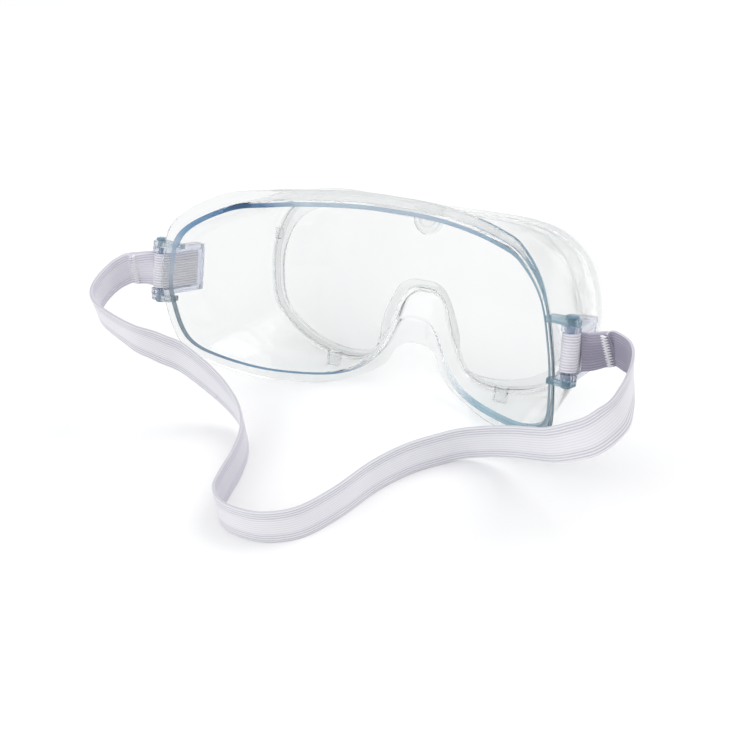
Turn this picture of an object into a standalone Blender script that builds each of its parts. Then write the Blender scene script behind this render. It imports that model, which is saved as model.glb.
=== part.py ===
"""Safety goggles: a soft clear frame, a snap-in lens, two hinged strap buckles and an elastic strap.

The rigid pieces are drawn upright, with the lens facing +Y and the wearer's right on +X, under one
empty. The empty leans them forward to the way the goggles rest on a table. The strap's free middle
is drawn straight in table coordinates, because it lies on the table. Lengths are in millimetres
until mesh_object turns them into metres.
"""
import math

import bmesh
import bpy
from mathutils import Matrix, Vector

MM = 0.001

# How the goggles rest on the table
REST_LEAN = math.radians(22.6)      # the lens leans forward, over the table
REST_LIFT = 36.85                   # height of the drawing's origin above the table
ORIGIN_SHIFT = Vector((-3.2, 36.1))  # moves the object's box centre over the origin

# Face contour, the edge that meets the face. It is drawn flat, bent round the head and tilted.
FACE_TILT = math.radians(14.6)      # leans the contour back from the lens, to suit the forehead
FACE_BEND = 0.00635                 # how far back it bends, per square millimetre of half width
BEAD = dict(half_width=77.0, brow=34.5, lobe=-34.0, nose=-11.0, nose_half=8.5, square=1.0)
LIP = dict(half_width=79.6, brow=40.0, lobe=-38.2, nose=-21.5, nose_half=8.0, square=1.0)
NOSE_FORWARD = 7.0                  # the contour steps forward over the nose
NOSE_SPREAD = 13.0
WALL = 1.8                          # side wall thickness
LIP_THICKNESS = 1.5

# Lens rim at the front of the frame
FRONT_FACE = 17.4                   # forward of the drawing's origin
RIM_OUTER = dict(half_width=71.0, brow=34.4, lobe=-31.4, nose=0.5, nose_half=7.4, square=0.0)
RIM_INNER = dict(half_width=62.8, brow=28.0, lobe=-26.2, nose=5.4, nose_half=9.8, square=0.0)
RIM_LIP_DEPTH = 1.4                 # front lip that holds the lens in
LENS_THICKNESS = 2.0
GROOVE_GAP = 0.3                    # clearance on each side of the lens in its groove
LEDGE_DEPTH = 1.6                   # ledge behind the lens
LIP_REACH = 0.45                    # share of the rim's width covered by the front lip
GROOVE_REACH = 0.25                 # share of the rim's width left outside the groove
WALL_REACH = 0.27                   # share of the rim's width taken by the side wall

# Buckle pivot, in the upright drawing
PIVOT = Vector((83.2, -37.6, 2.4))
BUCKLE_TOE_IN = math.radians(7.3)   # the buckle lies along the side wall
EAR_INNER = 9.0                     # from the strap's middle to the ear's near face
EAR_THICKNESS = 2.0
EAR_RADIUS = 3.2
EAR_ROOT_TOP = 74.7
EAR_ROOT_BOTTOM = 76.9
PIN_RADIUS = 1.2
PIN_HEAD_RADIUS = 2.2
PIN_HOLE_RADIUS = 1.35

# Buckle
CHEEK_INNER = 6.9
CHEEK_THICKNESS = 1.8
CHEEK_HALF_WIDTH = 3.4
BUCKLE_LENGTH = 19.4                # from the pivot to the front end
BAR_FORWARD = 14.4
BAR_RADIUS = 1.3
END_WALL = 1.5

# Strap
STRAP_WIDTH = 13.0
STRAP_THICKNESS = 1.3
LOOP_INNER_RADIUS = 1.6
SEAM_GAP = 1.0                      # between a sewn loop and the strap's middle
SEAM_LEAD = (0.0, 1.3, 2.6)         # the middle leaves the seam straight, through these points
STITCH_WIDTH = 0.7
STITCH_HEIGHT = 0.3
TABLE_CLEAR = 0.05                  # the strap's lower edge above the table plane

# Sewn tails, from the pivot to the seam, in the upright drawing: out, forward and up
TAIL_RIGHT = [Vector((2.7, 3.2, 0.1)), Vector((5.2, 4.4, 0.4)), Vector((8.4, 5.6, 1.5)),
              Vector((12.0, 6.2, 2.3))]
TAIL_LEFT = [Vector((-2.7, 0.7, 0.0)), Vector((-6.4, -0.6, -0.1)), Vector((-11.6, -2.9, -0.8))]

# Free middle of the strap on the table, left seam to right seam: across, forward and height
STRAP_DROP_LEFT = [(-99.4, -41.6, 52.5), (-100.2, -48.0, 51.3), (-99.4, -54.0, 49.5),
                   (-96.0, -57.8, 47.3), (-89.6, -58.6, 43.7), (-82.2, -57.0, 38.6),
                   (-76.2, -52.6, 32.6), (-70.4, -48.4, 26.6), (-63.2, -46.9, 20.4),
                   (-54.6, -47.4, 13.8), (-47.0, -50.4, 9.8), (-40.4, -56.0, 7.4)]
STRAP_ON_TABLE = [(-35.2, -64.0), (-31.2, -74.4), (-28.8, -84.4), (-26.0, -93.0), (-20.6, -98.4),
                  (-12.6, -100.6), (-1.6, -99.6), (8.4, -92.8), (14.6, -79.6), (19.0, -63.0),
                  (24.6, -51.0), (31.4, -42.6)]
STRAP_RISE_RIGHT = [(39.0, -36.6, 7.2), (49.0, -34.4, 9.2), (60.0, -35.6, 12.8),
                    (70.0, -39.4, 17.4), (78.8, -43.4, 22.2), (88.0, -46.6, 28.2),
                    (97.0, -48.8, 34.8), (103.4, -45.8, 41.2), (105.7, -40.4, 46.6),
                    (105.0, -34.0, 50.2), (102.6, -29.2, 52.6)]

DROP_SPAN, RISE_SPAN = 11, 9        # control points over which the strap leans
DROP_LEAN_LEFT = Vector((0.10, -0.24, 0.97))
RISE_LEAN_RIGHT = Vector((0.0, 0.15, 0.98))

OUTLINE_STEPS = 4                   # samples per stretch of an outline
STRAP_STEPS = 4
TAIL_STEPS = 3


# Materials ----------------------------------------------------------------------------------------

def material(name, colour, roughness, alpha=1.0, transmission=0.0):
    mat = bpy.data.materials.new(name)
    mat.use_nodes = True
    shader = mat.node_tree.nodes["Principled BSDF"]
    shader.inputs["Base Color"].default_value = (*colour, 1.0)
    shader.inputs["Roughness"].default_value = roughness
    shader.inputs["Metallic"].default_value = 0.0
    shader.inputs["Alpha"].default_value = alpha
    shader.inputs["Transmission Weight"].default_value = transmission
    mat.diffuse_color = (*colour, alpha)
    return mat


# Mesh helpers -------------------------------------------------------------------------------------

def mesh_object(name, verts, faces, mat, parent=None, location=(0, 0, 0), turn=0.0):
    """Make an object from points in millimetres, placed in its parent at location and turn."""
    mesh = bpy.data.meshes.new(name)
    mesh.from_pydata([Vector(v) * MM for v in verts], [], faces)
    shape = bmesh.new()
    shape.from_mesh(mesh)
    bmesh.ops.recalc_face_normals(shape, faces=shape.faces)
    shape.to_mesh(mesh)
    shape.free()
    obj = bpy.data.objects.new(name, mesh)
    bpy.context.scene.collection.objects.link(obj)
    obj.location = Vector(location) * MM
    obj.rotation_euler = (0.0, 0.0, turn)
    obj.parent = parent
    if mat is not None:
        mesh.materials.append(mat)
    return obj


def smooth_path(points, steps, closed):
    """Catmull-Rom curve through the points."""
    count = len(points)
    last = count if closed else count - 1
    path = []
    for i in range(last):
        if closed:
            a, b, c, d = (points[(i + k) % count] for k in (-1, 0, 1, 2))
        else:
            b, c = points[i], points[i + 1]
            a = points[i - 1] if i > 0 else b * 2 - c
            d = points[i + 2] if i + 2 < count else c * 2 - b
        for j in range(steps):
            t = j / steps
            path.append(0.5 * (2 * b + (c - a) * t + (2 * a - 5 * b + 4 * c - d) * t * t
                               + (3 * b - a - 3 * c + d) * t * t * t))
    if not closed:
        path.append(points[-1].copy())
    return path


def prism(outline, low, high):
    """Points and faces of a flat outline in XY, raised from low to high."""
    count = len(outline)
    verts = [(x, y, low) for x, y in outline] + [(x, y, high) for x, y in outline]
    faces = [tuple(range(count))[::-1], tuple(range(count, 2 * count))]
    faces += [(i, (i + 1) % count, (i + 1) % count + count, i + count) for i in range(count)]
    return verts, faces


def merge(*solids):
    """Put several sets of points and faces in one mesh."""
    verts, faces = [], []
    for part_verts, part_faces in solids:
        start = len(verts)
        verts += list(part_verts)
        faces += [tuple(start + i for i in face) for face in part_faces]
    return verts, faces


def arc(centre, radius, start, end, count):
    """Points along an arc in XY, in degrees."""
    angles = [math.radians(start + (end - start) * i / (count - 1)) for i in range(count)]
    return [(centre[0] + radius * math.cos(a), centre[1] + radius * math.sin(a)) for a in angles]


def disc(centre, radius, count=32):
    return arc(centre, radius, 0, 360 - 360 / count, count)


def turned(profile, count=32):
    """Points and faces of a profile of (radius, height) turned about Z, closed on the axis."""
    verts = [(r * math.cos(2 * math.pi * i / count), r * math.sin(2 * math.pi * i / count), z)
             for r, z in profile for i in range(count)]
    faces = [tuple(range(count))[::-1]]
    for k in range(len(profile) - 1):
        for i in range(count):
            a, b = k * count + i, k * count + (i + 1) % count
            faces.append((a, b, b + count, a + count))
    top = (len(profile) - 1) * count
    faces.append(tuple(range(top, top + count)))
    return verts, faces


def box(low, high):
    outline = [(low[0], low[1]), (high[0], low[1]), (high[0], high[1]), (low[0], high[1])]
    return prism(outline, low[2], high[2])


def cut(target, name, solid, operation, parent, location=(0, 0, 0), turn=0.0):
    """Add a hidden cutter, or a piece to join on, as an exact boolean on the target."""
    tool = mesh_object(name, *solid, None, parent, location, turn)
    tool.hide_render = True
    tool.display_type = 'WIRE'
    modifier = target.modifiers.new(name, 'BOOLEAN')
    modifier.operation = operation
    modifier.solver = 'EXACT'
    modifier.object = tool


# Goggle outlines ----------------------------------------------------------------------------------

def outline(half_width, brow, lobe, nose, nose_half, square):
    """A closed goggle outline, from the brow's centre round by the right, in the drawing's X and Z.

    brow and lobe are the top and bottom heights, nose is the top of the nose arch, and square fills
    out the brow's corner from a round rim (0) to a boxy face contour (1).
    """
    w = half_width
    right = [
        (0.00 * w, brow * 0.985),
        (0.20 * w, brow * 0.993),
        (0.40 * w, brow),
        (0.60 * w, brow * (0.99 + 0.02 * square)),
        (0.77 * w, brow * (0.91 + 0.09 * square)),
        ((0.91 + 0.03 * square) * w, brow * (0.70 + 0.10 * square)),
        ((0.985 + 0.01 * square) * w, brow * (0.36 + 0.02 * square)),
        (1.00 * w, brow * 0.02),
        (0.965 * w, lobe * 0.43),
        (0.86 * w, lobe * 0.70),
        (0.68 * w, lobe * 0.92),
        (0.46 * w, lobe),
        (0.29 * w, lobe * (0.88 + 0.04 * square)),
        (nose_half * 1.65, nose * 0.46 + lobe * 0.54),
        (nose_half * 1.12, nose * 0.84 + lobe * 0.16),
        (nose_half * 0.62, nose * 0.98 + lobe * 0.02),
        (0.00, nose),
    ]
    left = [(-x, z) for x, z in right[-2:0:-1]]
    points = [Vector((x, z, 0.0)) for x, z in right + left]
    return smooth_path(points, OUTLINE_STEPS, closed=True)


def grown(points, amount):
    """Move an outline outward by an amount, square to itself."""
    count = len(points)
    result = []
    for i, point in enumerate(points):
        along = (points[(i + 1) % count] - points[i - 1]).normalized()
        result.append(point + Vector((-along.y, along.x, 0.0)) * amount)
    return result


def between(inner, outer, share):
    """A share of the way in from the outer outline to the inner one."""
    return [o.lerp(i, share) for i, o in zip(inner, outer)]


def nose_step(point):
    """How far the face contour steps forward over the nose."""
    low = min(max(-point.y / 12.0, 0.0), 1.0)
    return NOSE_FORWARD * low * math.exp(-(point.x / NOSE_SPREAD) ** 2)


def on_face(points, forward):
    """Bend a face outline round the head, tilt it, and move it forward."""
    tilt = Matrix.Rotation(FACE_TILT, 3, 'X')
    return [tilt @ Vector((p.x, forward + nose_step(p) - FACE_BEND * p.x * p.x, p.y))
            for p in points]


def on_front(points, behind):
    """Stand a rim outline up, a distance behind the frame's front face."""
    return [Vector((p.x, FRONT_FACE - behind, p.y)) for p in points]


def ring_shell(rings):
    """Join closed rings into a band, and the last ring back to the first."""
    count = len(rings[0])
    verts = [v for ring in rings for v in ring]
    faces = []
    for k in range(len(rings)):
        nxt = (k + 1) % len(rings)
        for i in range(count):
            j = (i + 1) % count
            faces.append((k * count + i, k * count + j, nxt * count + j, nxt * count + i))
    return verts, faces


# Frame and lens -----------------------------------------------------------------------------------

def groove_depths():
    front = RIM_LIP_DEPTH
    back = front + LENS_THICKNESS + 2 * GROOVE_GAP
    return front, back


def frame_solid():
    bead, lip = outline(**BEAD), outline(**LIP)
    inner, outer = outline(**RIM_INNER), outline(**RIM_OUTER)
    front, back = groove_depths()
    half_wall = WALL / 2
    rings = [
        on_face(grown(bead, -half_wall), 0.9),
        on_face(grown(bead, -half_wall), -0.5),
        on_face(grown(bead, half_wall), -0.5),
        on_face(lip, -0.1),
        on_face(lip, LIP_THICKNESS - 0.2),
        on_face(grown(bead, half_wall), LIP_THICKNESS),
        on_front(outer, 3.4),
        on_front(between(inner, outer, 0.06), 0.0),
        on_front(between(inner, outer, LIP_REACH), 0.0),
        on_front(between(inner, outer, LIP_REACH), front),
        on_front(between(inner, outer, GROOVE_REACH), front),
        on_front(between(inner, outer, GROOVE_REACH), back),
        on_front(inner, back),
        on_front(inner, back + LEDGE_DEPTH),
        on_front(between(inner, outer, WALL_REACH), back + LEDGE_DEPTH),
    ]
    return ring_shell(rings)


def ear_outline(side, root):
    """Plate from the side wall out to the pivot, round at the pivot."""
    px, py = PIVOT.x, PIVOT.y
    tip = arc((px, py), EAR_RADIUS, -90, 90, 13)
    points = tip + [(root, py + EAR_RADIUS - 0.4), (root, py - EAR_RADIUS + 0.6)]
    return [(side * x, y) for x, y in points]


def add_ears(frame, stand):
    """Upper and lower ears that carry each buckle's pivot pin."""
    near, far = EAR_INNER, EAR_INNER + EAR_THICKNESS
    for side, word in ((1, "right"), (-1, "left")):
        upper = prism(ear_outline(side, EAR_ROOT_TOP), PIVOT.z + near, PIVOT.z + far)
        lower = prism(ear_outline(side, EAR_ROOT_BOTTOM), PIVOT.z - far, PIVOT.z - near)
        cut(frame, "ears_" + word, merge(upper, lower), 'UNION', stand)
    for side, word in ((1, "right"), (-1, "left")):
        hole = prism(disc((side * PIVOT.x, PIVOT.y), PIN_HOLE_RADIUS), PIVOT.z - 14, PIVOT.z + 14)
        cut(frame, "pin_hole_" + word, hole, 'DIFFERENCE', stand)


def front_to_back(outline_xz, front, back):
    """Solid with an outline in X and Z, between two depths behind the front face."""
    near = [(x, FRONT_FACE - front, z) for x, z in outline_xz]
    far = [(x, FRONT_FACE - back, z) for x, z in outline_xz]
    count = len(outline_xz)
    faces = [tuple(range(count)), tuple(range(count, 2 * count))[::-1]]
    faces += [(i, i + count, (i + 1) % count + count, (i + 1) % count) for i in range(count)]
    return near + far, faces


def rectangle(x, z, half_x, half_z):
    return [(x - half_x, z - half_z), (x + half_x, z - half_z),
            (x + half_x, z + half_z), (x - half_x, z + half_z)]


def add_rim_lugs(frame, stand):
    """Half-round brow tab and four small lugs that back the lens ledge."""
    back = groove_depths()[1]
    tab = arc((0.0, 28.6), 6.2, 180, 360, 17)
    cut(frame, "brow_tab", front_to_back(tab, back + 0.2, back + LEDGE_DEPTH - 0.2), 'UNION', stand)
    for side, word in ((1, "right"), (-1, "left")):
        temple = front_to_back(rectangle(side * 65.0, 13.5, 1.6, 2.2), back + 0.8, back + 2.6)
        cheek = front_to_back(rectangle(side * 36.2, -31.3, 2.6, 3.15), back + 0.4, back + 3.2)
        cut(frame, "rim_lugs_" + word, merge(temple, cheek), 'UNION', stand)


def build_frame(stand, mat):
    frame = mesh_object("frame", *frame_solid(), mat, stand)
    add_ears(frame, stand)
    add_rim_lugs(frame, stand)
    return frame


def build_lens(stand, mat):
    inner, outer = outline(**RIM_INNER), outline(**RIM_OUTER)
    edge = between(inner, outer, GROOVE_REACH + 0.05)
    front = RIM_LIP_DEPTH + GROOVE_GAP
    solid = front_to_back([(p.x, p.y) for p in edge], front, front + LENS_THICKNESS)
    return mesh_object("lens", *solid, mat, stand)


# Buckles and pins ---------------------------------------------------------------------------------

def build_pin(side, word, stand, mat):
    reach = EAR_INNER + EAR_THICKNESS
    profile = [(1.7, -reach - 1.0), (1.7, -reach - 0.3), (PIN_RADIUS, -reach - 0.3),
               (PIN_RADIUS, reach + 0.3), (PIN_HEAD_RADIUS, reach + 0.3),
               (PIN_HEAD_RADIUS, reach + 0.9), (PIN_HEAD_RADIUS - 0.5, reach + 1.3)]
    place = (side * PIVOT.x, PIVOT.y, PIVOT.z)
    return mesh_object("pivot_pin_" + word, *turned(profile), mat, stand, place)


def cheek_outline():
    """Buckle side plate: round about the pivot, tapering a little to the front end."""
    w, length = CHEEK_HALF_WIDTH, BUCKLE_LENGTH
    points = arc((0, 0), w, 180, 360, 17)
    points += [(w, length * 0.5), (w - 0.3, length - 1.0), (w - 1.2, length)]
    points += [(-w + 1.2, length), (-w + 0.3, length - 1.0), (-w, length * 0.5)]
    return points


def build_buckle(side, word, stand, mat):
    near, far = CHEEK_INNER, CHEEK_INNER + CHEEK_THICKNESS
    cheeks = merge(prism(cheek_outline(), near, far), prism(cheek_outline(), -far, -near))
    place = (side * PIVOT.x, PIVOT.y, PIVOT.z)
    turn = side * BUCKLE_TOE_IN
    buckle = mesh_object("buckle_" + word, *cheeks, mat, stand, place, turn)
    bar = prism(disc((0.0, BAR_FORWARD), BAR_RADIUS, 24), -near - 0.8, near + 0.8)
    end = box((-2.6, BUCKLE_LENGTH - 0.3 - END_WALL, -near - 0.8),
              (2.6, BUCKLE_LENGTH - 0.3, near + 0.8))
    cut(buckle, "buckle_bars_" + word, merge(bar, end), 'UNION', stand, place, turn)
    hole = prism(disc((0.0, 0.0), PIN_HOLE_RADIUS), -far - 1, far + 1)
    cut(buckle, "buckle_hole_" + word, hole, 'DIFFERENCE', stand, place, turn)
    return buckle


# Strap --------------------------------------------------------------------------------------------

def band(path, ups, width, thickness):
    """Points and faces of a flat band along a path, with its width along each up direction."""
    verts, faces = [], []
    last = len(path) - 1
    for i, point in enumerate(path):
        along = (path[min(i + 1, last)] - path[max(i - 1, 0)]).normalized()
        up = (ups[i] - along * ups[i].dot(along)).normalized()
        out = along.cross(up)
        for a, b in ((-1, -1), (1, -1), (1, 1), (-1, 1)):
            verts.append(point + out * (a * thickness / 2) + up * (b * width / 2))
    for i in range(last):
        for k in range(4):
            a, b = 4 * i + k, 4 * i + (k + 1) % 4
            faces.append((a, b, b + 4, a + 4))
    faces.append((3, 2, 1, 0))
    faces.append(tuple(4 * last + k for k in range(4)))
    return verts, faces


def loop_ring():
    """Closed strap loop round the pin and the buckle's bar, as an outer and an inner outline."""
    def racetrack(radius):
        return arc((0, 0), radius, 180, 360, 17) + arc((0, BAR_FORWARD), radius, 0, 180, 17)
    inner = racetrack(LOOP_INNER_RADIUS)
    outer = racetrack(LOOP_INNER_RADIUS + STRAP_THICKNESS)
    half = STRAP_WIDTH / 2
    rings = [[(x, y, z) for x, y in ring]
             for ring, z in ((outer, -half), (outer, half), (inner, half), (inner, -half))]
    return ring_shell(rings)


def unturned(point, turn):
    return Matrix.Rotation(-turn, 3, 'Z') @ point


def tail_path(tail, turn):
    """The sewn tail, in the buckle's own axes."""
    return smooth_path([unturned(p, turn) for p in tail], TAIL_STEPS, closed=False)


def tail_ups(path, turn):
    """The tail turns from the buckle's lean to upright as it leaves the buckle."""
    upright = unturned(Matrix.Rotation(REST_LEAN, 3, 'X') @ Vector((0, 0, 1)), turn)
    last = len(path) - 1
    return [Vector((0, 0, 1)).lerp(upright, min(1.0, 1.4 * i / last)) for i in range(last + 1)]


def build_loop(side, word, tail, stand, mat):
    """One end of the strap: looped round the pin and bar, its two layers sewn into a tail."""
    place = (side * PIVOT.x, PIVOT.y, PIVOT.z)
    turn = side * BUCKLE_TOE_IN
    loop = mesh_object("strap_loop_" + word, *loop_ring(), mat, stand, place, turn)
    path = tail_path(tail, turn)
    ups = tail_ups(path, turn)
    sewn = band(path, ups, STRAP_WIDTH - 0.02, 2 * STRAP_THICKNESS)
    cut(loop, "sewn_tail_" + word, sewn, 'UNION', stand, place, turn)
    return loop


def build_stitching(side, word, tail, stand, mat):
    """Zigzag thread across the sewn tail, on the face that looks at the wearer's head."""
    place = (side * PIVOT.x, PIVOT.y, PIVOT.z)
    turn = side * BUCKLE_TOE_IN
    path = tail_path(tail, turn)
    along = (path[-1] - path[-3]).normalized()
    centre = path[-1] - along * 1.6
    up = tail_ups(path, turn)[-1]
    up = (up - along * up.dot(along)).normalized()
    out = along.cross(up) * (1 if side > 0 else -1)
    base = centre + out * (STRAP_THICKNESS + 0.08)
    teeth = 8
    points = []
    for edge in (0.0, STITCH_WIDTH):
        row = [(((k % 2) - 0.5) * 1.5 + edge, (k / teeth - 0.5) * (STRAP_WIDTH - 1.2))
               for k in range(teeth + 1)]
        points += row if edge == 0.0 else row[::-1]
    count = len(points)
    verts = [base + along * a + up * b for a, b in points]
    verts += [v + out * STITCH_HEIGHT for v in verts]
    faces = [tuple(range(count)), tuple(range(count, 2 * count))[::-1]]
    faces += [(i, (i + 1) % count, (i + 1) % count + count, i + count) for i in range(count)]
    return mesh_object("stitching_" + word, verts, faces, mat, stand, place, turn)


def stand_matrix():
    lean = Matrix.Rotation(-REST_LEAN, 4, 'X')
    return Matrix.Translation((ORIGIN_SHIFT.x, ORIGIN_SHIFT.y, REST_LIFT)) @ lean


def seam_end(side, tail):
    """The outer end of a sewn tail and its direction, in table coordinates."""
    matrix = stand_matrix()
    pivot = Vector((side * PIVOT.x, PIVOT.y, PIVOT.z))
    path = smooth_path(tail, TAIL_STEPS, closed=False)
    end, before = matrix @ (pivot + path[-1]), matrix @ (pivot + path[-2])
    return end, (end - before).normalized()


def middle_ups(count):
    """The strap stands upright on the table and leans over where it hangs from each buckle."""
    ups = []
    for i in range(count):
        from_left, from_right = i / STRAP_STEPS, (count - 1 - i) / STRAP_STEPS
        up = Vector((0, 0, 1))
        if from_left < DROP_SPAN:
            up = up.lerp(DROP_LEAN_LEFT, math.sin(math.pi * from_left / DROP_SPAN))
        if from_right < RISE_SPAN:
            up = up.lerp(RISE_LEAN_RIGHT, math.sin(math.pi * from_right / RISE_SPAN))
        ups.append(up.normalized())
    return ups


def build_middle(mat):
    """The strap's free middle, from one seam down to the table, round and up to the other."""
    left_end, left_out = seam_end(-1, TAIL_LEFT)
    right_end, right_out = seam_end(1, TAIL_RIGHT)
    shift = Vector((ORIGIN_SHIFT.x, ORIGIN_SHIFT.y, 0.0))
    table_height = STRAP_WIDTH / 2 + TABLE_CLEAR
    points = [left_end + left_out * (SEAM_GAP + lead) for lead in SEAM_LEAD]
    points += [Vector(p) + shift for p in STRAP_DROP_LEFT]
    points += [Vector((x, y, table_height)) + shift for x, y in STRAP_ON_TABLE]
    points += [Vector(p) + shift for p in STRAP_RISE_RIGHT]
    points += [right_end + right_out * (SEAM_GAP + lead) for lead in reversed(SEAM_LEAD)]
    path = smooth_path(points, STRAP_STEPS, closed=False)
    for point in path:
        point.z = max(point.z, table_height)
    ups = middle_ups(len(path))
    return mesh_object("strap_middle", *band(path, ups, STRAP_WIDTH, STRAP_THICKNESS), mat)


# Assembly -----------------------------------------------------------------------------------------

def build():
    soft_clear = material("soft_clear_vinyl", (0.90, 0.93, 0.95), 0.18, 0.35, 0.8)
    lens_clear = material("clear_polycarbonate", (0.95, 0.97, 0.98), 0.04, 0.2, 0.9)
    buckle_clear = material("clear_buckle_plastic", (0.80, 0.82, 0.90), 0.12, 0.45, 0.7)
    pin_plastic = material("tinted_pin_plastic", (0.36, 0.52, 0.62), 0.25, 0.8, 0.3)
    elastic = material("white_elastic", (0.83, 0.82, 0.87), 0.85)
    thread = material("white_thread", (0.93, 0.93, 0.95), 0.7)

    stand = bpy.data.objects.new("goggles_stand", None)
    bpy.context.scene.collection.objects.link(stand)
    stand.location = Vector((ORIGIN_SHIFT.x, ORIGIN_SHIFT.y, REST_LIFT)) * MM
    stand.rotation_euler = (-REST_LEAN, 0.0, 0.0)

    build_frame(stand, soft_clear)
    build_lens(stand, lens_clear)
    for side, word, tail in ((-1, "left", TAIL_LEFT), (1, "right", TAIL_RIGHT)):
        build_pin(side, word, stand, pin_plastic)
        build_buckle(side, word, stand, buckle_clear)
        build_loop(side, word, tail, stand, elastic)
        build_stitching(side, word, tail, stand, thread)
    build_middle(elastic)


for old in list(bpy.data.objects):
    bpy.data.objects.remove(old, do_unlink=True)
build()
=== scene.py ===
import math

import bmesh
import bpy
from mathutils import Matrix, Vector


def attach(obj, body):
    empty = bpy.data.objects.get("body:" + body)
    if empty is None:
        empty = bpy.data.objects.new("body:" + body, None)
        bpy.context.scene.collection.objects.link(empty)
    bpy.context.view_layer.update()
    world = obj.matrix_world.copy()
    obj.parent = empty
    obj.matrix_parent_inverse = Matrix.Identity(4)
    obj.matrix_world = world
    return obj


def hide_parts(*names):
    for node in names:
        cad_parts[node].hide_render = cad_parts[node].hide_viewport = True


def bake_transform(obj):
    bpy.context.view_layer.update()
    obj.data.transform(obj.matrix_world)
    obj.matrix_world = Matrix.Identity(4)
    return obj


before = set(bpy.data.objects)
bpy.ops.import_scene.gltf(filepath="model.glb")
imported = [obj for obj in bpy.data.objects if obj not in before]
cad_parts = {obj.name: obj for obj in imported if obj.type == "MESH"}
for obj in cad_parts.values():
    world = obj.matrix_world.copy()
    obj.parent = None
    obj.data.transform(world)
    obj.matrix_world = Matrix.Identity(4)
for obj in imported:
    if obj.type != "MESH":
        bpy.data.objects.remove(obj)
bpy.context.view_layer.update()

MM = 0.001

# Clear plastics. Real ones bend light by about 1.5. These values are lower, chosen so
# that the walls look as clear as in the photo, and a coat gives back the gloss.
VINYL_IOR, LENS_IOR, TINT_IOR, EAR_IOR = 1.17, 1.25, 1.35, 1.4
COAT_WEIGHT, COAT_IOR, COAT_ROUGHNESS = 0.5, 1.45, 0.03
NOSE_X = -0.0032                    # the goggles' centre line, in metres

# Stage: a light is its name, place, size, power and colour
KEY_LIGHT = ("key", (0.55, 0.60, 1.05), 0.8, 4.6, (1.0, 0.99, 0.98))
FILL_LIGHT = ("fill", (-0.6, -0.9, 0.7), 0.9, 3.2, (0.96, 0.98, 1.0))
WORLD_BELOW, WORLD_ABOVE = (0.80, 0.81, 0.83, 1.0), (1.0, 1.0, 1.0, 1.0)
WORLD_STRENGTH = 0.9
CAMERA_LENS = 79.8
CAMERA_PLACE = (0.2848, -0.3780, 0.34215)
CAMERA_AXES = ((0.8441, 0.5166, -0.1437), (-0.1872, 0.5350, 0.8238),
               (0.5025, -0.6684, 0.5483))    # right, up, back

# How the goggles rest, as in the CAD
REST_LEAN = math.radians(22.6)
REST_LIFT = 36.85
ORIGIN_SHIFT = Vector((-3.2, 36.1, 0.0))
STAND = (Matrix.Translation(ORIGIN_SHIFT + Vector((0, 0, REST_LIFT)))
         @ Matrix.Rotation(-REST_LEAN, 4, 'X'))

# Frame
FACE_TILT = math.radians(14.6)
FACE_BEND = 0.00635
BEAD = dict(half_width=77.0, brow=34.5, lobe=-34.0, nose=-11.0, nose_half=8.5, square=1.0)
LIP = dict(half_width=79.6, brow=40.0, lobe=-38.2, nose=-21.5, nose_half=8.0, square=1.0)
NOSE_FORWARD, NOSE_SPREAD = 7.0, 13.0
WALL = 1.8
LIP_THICKNESS = 1.5
FRONT_FACE = 17.4
RIM_OUTER = dict(half_width=71.0, brow=34.4, lobe=-31.4, nose=0.5, nose_half=7.4, square=0.0)
RIM_INNER = dict(half_width=62.8, brow=28.0, lobe=-26.2, nose=5.4, nose_half=9.8, square=0.0)
RIM_LIP_DEPTH = 1.4
LENS_THICKNESS = 2.0
GROOVE_GAP = 0.3
LEDGE_DEPTH = 1.6
TINT_BROW = 12.0                    # above this height the bead is the brow's
TINT_FROM, TINT_FROM_BROW = 10.0, 30.0    # how far right the wide tint begins
OUTLINE_STEPS = 10
CORNER_STEPS = 4

# Buckles
PIVOT = Vector((83.2, -37.6, 2.4))
BUCKLE_TOE_IN = math.radians(7.3)
EAR_INNER, EAR_THICKNESS, EAR_RADIUS = 9.0, 2.0, 3.2
PIN_RADIUS, PIN_HOLE_RADIUS, PIN_HEAD_RADIUS = 1.2, 1.35, 2.2
CHEEK_INNER, CHEEK_THICKNESS, CHEEK_HALF_WIDTH = 6.9, 1.8, 3.4
BUCKLE_LENGTH = 19.4
BAR_FORWARD, BAR_RADIUS = 14.4, 1.3
END_WALL = 1.5

# Strap
STRAP_WIDTH = 13.0
STRAP_THICKNESS = 1.3
LOOP_RADIUS = 1.6 + STRAP_THICKNESS / 2
# The cloth runs on here, so the seam is all but closed. The CAD's strap_middle keeps a 1 mm gap
# at each sewn end, and leads away from it at (0, 1.3, 2.6) mm.
SEAM_GAP = 0.02
SEAM_LEAD = (0.0, 1.2)
SEAM_OVERLAP = 0.5                  # how far the free strap runs into each sewn end
STITCH_TEETH, THREAD_RADIUS = 24, 0.24
STITCH_ROWS = ((0.0, 0.85, 0.3), (0.22, 0.6, 0.15), (0.1, 0.5, -0.45))    # lift, reach, shift
TABLE_HEIGHT = STRAP_WIDTH / 2 + 0.05
TAIL_RIGHT = [Vector((2.7, 3.2, 0.1)), Vector((5.2, 4.4, 0.4)), Vector((8.4, 5.6, 1.5)),
              Vector((12.0, 6.2, 2.3))]
TAIL_LEFT = [Vector((-2.7, 0.7, 0.0)), Vector((-6.4, -0.6, -0.1)), Vector((-11.6, -2.9, -0.8))]
STRAP_DROP_LEFT = [(-99.4, -41.6, 52.5), (-100.2, -48.0, 51.3), (-99.4, -54.0, 49.5),
                   (-96.0, -57.8, 47.3), (-89.6, -58.6, 43.7), (-82.2, -57.0, 38.6),
                   (-76.2, -52.6, 32.6), (-70.4, -48.4, 26.6), (-63.2, -46.9, 20.4),
                   (-54.6, -47.4, 13.8), (-47.0, -50.4, 9.8), (-40.4, -56.0, 7.4)]
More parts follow.
